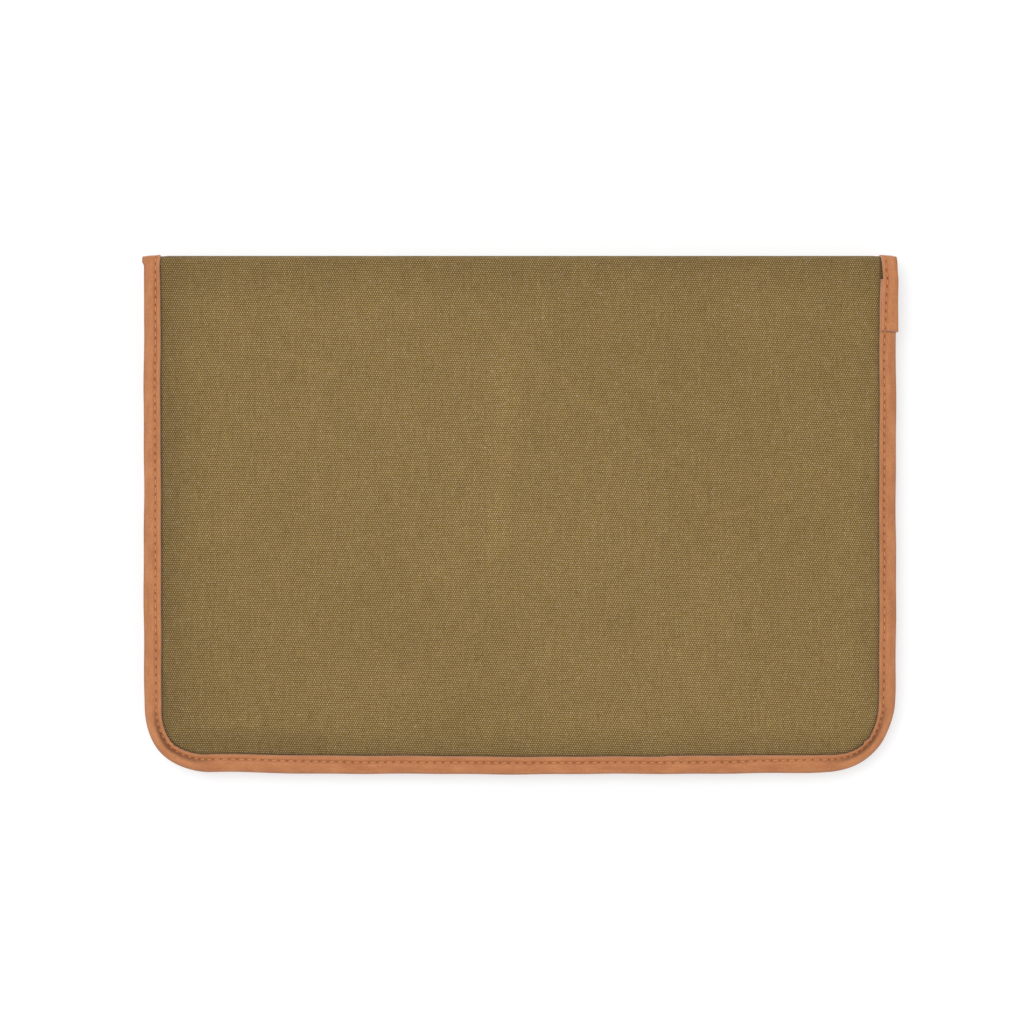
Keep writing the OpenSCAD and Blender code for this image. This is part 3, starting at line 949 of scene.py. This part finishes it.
def canvas_material(name, wear_and_shade):
    """Washed cotton duck with uneven yarns."""
    m = Shader(name, 0.88, "cloth", Sheen_Weight=0.12, Sheen_Roughness=0.5, Specular_IOR_Level=0.2)
    x, y, d = m.parts
    weave, picks = canvas_weave(m, x, y)
    ridge = m.times(picks, picks)
    uneven = m.times(m.noise(m.stretched(1, 1, 0), 0.8, 2, 0.6), 1.6)
    dots = m.times(m.step(weave, 0.05, 0.95), uneven)
    weft = m.centred(m.noise(m.stretched(0.22, 1.3, 0), 0.8, 2), 0.2)
    warp = m.centred(m.noise(m.stretched(1.6, 0.07, 0), 1.0, 2), 0.24)
    speck = m.centred(m.noise(m.flat, 1.1, 3, 0.7), 0.5)
    tone = m.total(m.math("MULTIPLY_ADD", ridge, 0.16, 0.15), dots, weft, warp, speck)
    gain = canvas_gain(m, x, y, d)
    # Lighter strokes of wear, and painted shade along the edges and the top.
    if wear_and_shade:
        gain = m.total(gain, line_marks(m, WEAR + PAINTED_SHADE_STROKES))
    slub = m.step(m.noise(m.flat, 0.9, 2, 0.6), 0.56, 0.74)
    low, high = linear(79, 53, 3), m.mix(slub, linear(192, 163, 106), linear(214, 199, 166))
    m.colour(m.mix(m.math("ADD", tone, 0.0, clamp=True), low, high), gain)
    m.relief(m.total(m.times(weave, 0.5), m.times(picks, 0.2), speck), 0.00022, 0.6)
    return m.material


def corner_shade(m, s, d):
    """Round the corners: painted shade in the crease beside the seam, and a painted highlight on the
    strip's rolled outer part.
    """
    down = m.math("PINGPONG", s, LENGTH / 2)
    corner = m.step(m.gap(down, MID_CORNER), 8.0, 30.0, 1.0, 0.0)
    # Painted shade along the crease, and a painted highlight on the strip's rolled outer part.
    crease = m.step(m.gap(d, 4.6), 0.1, 1.4, 1.0, 0.0)
    roll_shading = m.step(m.gap(d, 2.4), 0.2, 1.2, 0.10, 0.0)
    return m.times(m.total(m.times(crease, -0.48), roll_shading), corner)


def lap_shade(m, s):
    """Painted shadow: a dark line below the lapped end, which is a little lighter itself."""
    # Painted shadow: a dark line just below the lapped end's edge.
    below = m.gap(s, LENGTH - TAIL - 1.0)
    upper_end = m.step(s, LENGTH - TAIL, LENGTH - TAIL + 1.0, 0.0, 0.05)
    return m.total(m.step(below, 0.2, 0.8, -0.35, 0.0), upper_end)


def leather_material(name, lapped):
    """Smooth tan leather, pulled down along its seam, with painted shade in the seam's valley, along
    its outer edge and in a needle hole at each stitch.
    """
    m = Shader(name, 0.5, "hide", Specular_IOR_Level=0.35)
    s, d, _ = m.parts
    grain = m.noise(m.flat, 2.6, 4, 0.65)
    pores = m.node("TexVoronoi", feature="DISTANCE_TO_EDGE")
    m.feed(pores.inputs["Vector"], m.stretched(1, 1.2, 1))
    pores.inputs["Scale"].default_value = 2.1
    cells = m.step(pores.outputs[0], 0.0, 0.16)
    cloud = m.centred(m.noise(m.stretched(0.35, 1, 1), 0.25, 4, 0.6), 0.30)
    fine = m.centred(grain, 0.22)
    speckle = m.centred(m.noise(m.flat, 2.2, 2, 0.6), 0.85)
    off = m.gap(d, SEAM)
    # Painted shade in the seam's valley: the leather darker and redder along the stitch line.
    valley = m.step(off, 0.25, 1.15, 1.0, 0.0)
    # Painted shade where the strip turns down at its outer edge.
    nose_shade = m.step(d, 0.0, 1.3, -0.22, 0.0)
    shade = m.total(m.times(valley, -0.10), nose_shade, cloud, fine, speckle, 1.0)
    along_seam = m.math("PINGPONG", s, PITCH / 2)
    # Painted shade in the needle holes: dark brown at each stitch.
    near = m.step(m.math("MAXIMUM", along_seam, off), 0.12, 0.5, 1.0, 0.0)
    shade = m.total(shade, corner_shade(m, s, d))
    if lapped:
        shade = m.total(shade, lap_shade(m, s))
    body = m.mix(m.step(cloud, -0.1, 0.1), linear(185, 116, 70), linear(199, 132, 85))
    # Painted shade: the seam's valley is mixed towards a darker red-brown.
    body = m.mix(m.times(valley, 0.4), body, linear(180, 104, 56))
    body = m.vector("SCALE", body, scale=shade)
    m.colour(m.mix(m.times(near, 0.68), body, linear(112, 54, 27)))
    holes = m.times(near, -1.6)
    depth = m.total(m.times(grain, 0.6), m.times(cells, 0.5), holes)
    m.relief(depth, 0.00012, 0.55)
    return m.material


def cut_edge_material(name):
    m = Shader(name, 0.85, "hide")
    fibre = m.noise(m.stretched(1, 4, 4), 2.5, 4, 0.7)
    m.colour(m.mix(fibre, linear(192, 132, 106), linear(234, 188, 166)))
    m.relief(fibre, 0.0001, 0.6)
    return m.material


def thread_material(name):
    """Waxed thread of three plies, laid to the right."""
    m = Shader(name, 0.55, "yarn")
    run, turn, kind = m.parts
    lay = m.math("SINE", m.total(m.times(run, 5.5), turn, kind))
    fuzz = m.centred(m.noise(m.flat, 3.0, 2), 0.3)
    share = m.total(m.math("MULTIPLY_ADD", lay, 0.35, 0.55), fuzz)
    m.colour(m.mix(share, linear(184, 110, 58), linear(232, 172, 108)))
    m.relief(lay, 0.00006, 0.8)
    return m.material


def lining_material(name):
    """Brushed cotton twill."""
    m = Shader(name, 0.9, "cloth", Sheen_Weight=0.2, Sheen_Roughness=0.6)
    x, y, _ = m.parts
    lines = m.math("SINE", m.times(m.total(x, m.times(y, 0.8)), 2 * math.pi / 1.5))
    nap = m.centred(m.noise(m.stretched(1, 0.6, 0), 0.8, 4, 0.7), 0.7)
    cloud = m.centred(m.noise(m.flat, 0.03, 3), 0.25)
    share = m.total(m.math("MULTIPLY_ADD", lines, 0.35, 0.5), nap)
    m.colour(m.mix(share, linear(72, 62, 48), linear(128, 113, 92)), m.total(cloud, 1.0))
    m.relief(m.total(lines, nap), 0.00012, 0.5)
    return m.material


def felt_material(name):
    m = Shader(name, 0.95, "cloth")
    fibre = m.noise(m.stretched(1, 1, 3), 1.4, 5, 0.75)
    tuft = m.noise(m.flat, 0.2, 3)
    share = m.total(m.times(fibre, 0.7), m.times(tuft, 0.3))
    m.colour(m.mix(share, linear(176, 172, 160), linear(226, 223, 214)))
    m.relief(fibre, 0.0002, 0.7)
    return m.material


def object_noise(m, scale, detail):
    place = m.node("TexCoord").outputs["Object"]
    return m.noise(place, scale, detail, 0.6)


def magnet_material(name):
    m = Shader(name, 0.25, Metallic=1.0)
    scuffs = object_noise(m, 900.0, 4.0)
    m.feed(m.surface.inputs["Roughness"], m.step(scuffs, 0.35, 0.7, 0.18, 0.4))
    m.colour(m.mix(scuffs, linear(196, 197, 200), linear(224, 224, 226)))
    m.relief(scuffs, 0.00002, 0.5)
    return m.material


def patch_material(name):
    m = Shader(name, 0.9)
    fibre = object_noise(m, 1600.0, 5.0)
    m.colour(m.mix(fibre, linear(205, 204, 198), linear(240, 239, 234)))
    m.relief(fibre, 0.00008, 0.6)
    return m.material


# ---- The pieces ----

CANVAS_MATERIAL = canvas_material("canvas_worn_and_shaded", True)
PLAIN_CANVAS = canvas_material("canvas_plain", False)
CUT_EDGE = cut_edge_material("leather_cut_edge")
THREAD_MATERIAL = thread_material("thread_waxed")
LINING_MATERIAL = lining_material("lining_twill")
FELT_MATERIAL = felt_material("padding_felt")
HIDE = [leather_material("leather_tan", False), CUT_EDGE]
LAPPED_HIDE = [leather_material("leather_lapped", True), CUT_EDGE]

UPPER_BEND = ("spine", "flap", (0, FOLD * MM, (TOP - FOLD_R) * MM), (0, FLAT_TOP * MM, TOP * MM))
LOWER_BEND = ("pocket", "spine", (0, FLAT_TOP * MM, 0), (0, FOLD * MM, FOLD_R * MM))


def settle(piece, nodes, bend=None):
    """Gives a piece the pocket's body, or bakes it in place where it lies on a bend, and hides the CAD
    nodes that it stands for.
    """
    if bend:
        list(bend)
        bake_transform(piece)
    else:
        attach(piece, "pocket")
    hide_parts(*nodes)


def magnet_windows():
    x0, x1 = MAGNET_LOW.x / MM - 0.5, MAGNET_HIGH.x / MM + 0.5
    y0, y1 = MAGNET_LOW.y / MM - 0.5, MAGNET_HIGH.y / MM + 0.5
    return [(x0, x1, y0, y1), (-x1, -x0, y0, y1)]


def canvas_inner(d):
    return canvas_depth(d) + CANVAS


def lining_inner(d):
    return lining_depth(d) + LINING


def make_panel_half(name, place, bend, nodes, windows, canvas):
    """Canvas, felt and lining of the panel's upper or lower half."""
    outer = panel_layer(canvas_depth, canvas_inner, place, EDGE_D, 3.0)
    cloth = outer.build(f"canvas_{name}", "cloth", [canvas])
    felt = panel_layer(canvas_inner, lining_depth, place, PAD_D, 5.0, windows)
    felt = felt.build(f"padding_{name}", "cloth", [FELT_MATERIAL])
    inner = panel_layer(lining_depth, lining_inner, place, EDGE_D, 5.0)
    inner = inner.build(f"lining_{name}", "cloth", [LINING_MATERIAL])
    settle(cloth, [n + "_canvas" for n in nodes], bend)
    settle(felt, [n + "_padding" for n in nodes], bend)
    settle(inner, [n + "_lining" for n in nodes], bend)


def wall_layer(faces, flange, windows=()):
    profiles = [wall_profile(face, flange) for face in faces]
    return layer(profiles, FLAT_TOP - MOUTH, wall_place, 4.0, windows, flat_of=wall_flat)


def make_front_wall():
    canvas_faces = [canvas_face(0), canvas_face(-CANVAS)]
    lining_faces = [lining_face(LINING), lining_face(0)]
    canvas = wall_layer(canvas_faces, True)
    canvas = canvas.build("front_canvas_cloth", "cloth", [PLAIN_CANVAS])
    felt = wall_layer([canvas_faces[1], lining_faces[0]], False, magnet_windows())
    felt = felt.build("front_padding_felt", "cloth", [FELT_MATERIAL])
    lining = wall_layer(lining_faces, True)
    lining = lining.build("front_lining_cloth", "cloth", [LINING_MATERIAL])
    settle(canvas, ["front_canvas"])
    settle(felt, ["front_padding"])
    settle(lining, ["front_lining"])


def make_strips():
    tail_nodes = ["binding_tail", "spine_binding_right"]
    strips = [
        ("flap", flap_strip, LAPPED_HIDE, ["flap_binding", "spine_binding_left"], UPPER_BEND),
        ("lapped_end", tail_strip, LAPPED_HIDE, tail_nodes, UPPER_BEND),
        ("pocket", pocket_strip, HIDE, ["pocket_binding"], LOWER_BEND),
        ("mouth", mouth_strip, HIDE, ["mouth_binding"], None),
    ]
    for name, shape, hide, nodes, bend in strips:
        settle(shape().build(f"strip_{name}", "hide", hide), nodes, bend)


def make_stitches():
    whole = stitch_starts(-TO_SPINE + 1, LENGTH + TO_SPINE - 1)
    flap, pocket = flap_stitch_place, pocket_stitch_place
    outer_nodes = ["flap_needle_thread", "spine_thread_left"]
    inner_nodes = ["flap_bobbin_thread", "spine_thread_right"]
    rows = [
        ("stitches_flap", 1, flap(True), UPPER_BEND, outer_nodes),
        ("stitches_flap_inner", 2, flap(False), UPPER_BEND, inner_nodes),
        ("stitches_pocket", 3, pocket(True), LOWER_BEND, ["pocket_needle_thread"]),
        ("stitches_pocket_inner", 4, pocket(False), LOWER_BEND, ["pocket_bobbin_thread"]),
    ]
    for name, seed, where, bend, nodes in rows:
        piece = stitch_row(whole, seed, where).build(name, "yarn", [THREAD_MATERIAL])
        settle(piece, nodes, bend)
    reach = HALF_W - WALL_END_D
    across = stitch_starts(-reach, reach)
    faces = [("stitches_mouth", 5, WALL_TOP, 1), ("stitches_mouth_inner", 6, WALL_TOP - PANEL, -1)]
    for name, seed, level, sign in faces:
        row = stitch_row(across, seed, mouth_stitch_place(level, sign))
        settle(row.build(name, "yarn", [THREAD_MATERIAL]), ["mouth_thread"])


def finish_closure():
    """The magnets and their patches keep their CAD shape and get real finishes."""
    metal, fleece = magnet_material("magnet_nickel"), patch_material("patch_fleece")
    for name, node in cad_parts.items():
        if "magnet" in name:
            node.data.materials.clear()
            node.data.materials.append(fleece if "patch" in name else metal)


# ---- Stage, light and camera ----

def make_floor():
    data = bpy.data.meshes.new("floor")
    corners = [(x, y, -0.0002) for x, y in ((-3, -3), (3, -3), (3, 3), (-3, 3))]
    data.from_pydata(corners, [], [(0, 1, 2, 3)])
    floor = bpy.data.objects.new("floor", data)
    bpy.context.scene.collection.objects.link(floor)
    m = Shader(
        "floor_white", 0.9, Specular_IOR_Level=0.0, Base_Color=(0.586, 0.603, 0.613, 1),
        Emission_Color=(1, 1, 1, 1), Emission_Strength=0.486,
    )
    data.materials.append(m.material)


def make_world(zenith, horizon):
    """A soft sky that is brighter overhead, over a narrow white band at the horizon."""
    world = bpy.data.worlds.new("studio")
    bpy.context.scene.world = world
    world.use_nodes = True
    tree = world.node_tree
    back = tree.nodes["Background"]
    place = tree.nodes.new("ShaderNodeTexCoord")
    parts = tree.nodes.new("ShaderNodeSeparateXYZ")
    tree.links.new(place.outputs["Generated"], parts.inputs[0])
    both = tree.nodes.new("ShaderNodeMath")
    both.operation = "MAXIMUM"
    for slot, values in enumerate([(0.0, 1.0, horizon, zenith), (0.1, 0.3, 1.0, horizon)]):
        ramp = tree.nodes.new("ShaderNodeMapRange")
        tree.links.new(parts.outputs[2], ramp.inputs[0])
        for socket, value in zip(ramp.inputs[1:5], values, strict=True):
            socket.default_value = value
        tree.links.new(ramp.outputs[0], both.inputs[slot])
    tree.links.new(both.outputs[0], back.inputs["Strength"])
    back.inputs["Color"].default_value = (1, 1, 1, 1)


def make_light(name, place, size, power):
    data = bpy.data.lights.new(name, "AREA")
    data.shape = "DISK"
    data.size = size
    data.energy = power
    light = bpy.data.objects.new(name, data)
    light.location = place
    aim = -light.location
    light.rotation_euler = aim.to_track_quat("-Z", "Y").to_euler()
    bpy.context.scene.collection.objects.link(light)


def make_camera():
    data = bpy.data.cameras.new("camera")
    data.lens = 90
    data.sensor_width = 36
    data.clip_end = 20
    camera = bpy.data.objects.new("camera", data)
    camera.location = (-0.0036, 0.00125, 1.1834)
    bpy.context.scene.collection.objects.link(camera)
    bpy.context.scene.camera = camera


def main():
    make_camera()
    make_panel_half("upper", on_flap, UPPER_BEND, ["flap", "spine"], magnet_windows(), CANVAS_MATERIAL)
    make_panel_half("lower", on_back, LOWER_BEND, ["back"], (), PLAIN_CANVAS)
    make_front_wall()
    make_strips()
    make_stitches()
    finish_closure()
    make_floor()
    make_world(zenith=0.79, horizon=0.44)
    make_light("key", place=(-0.42, 0.36, 2.25), size=1.0, power=18.5)
    scene = bpy.context.scene
    scene.view_settings.view_transform = "Standard"
    scene.view_settings.look = "None"


main()
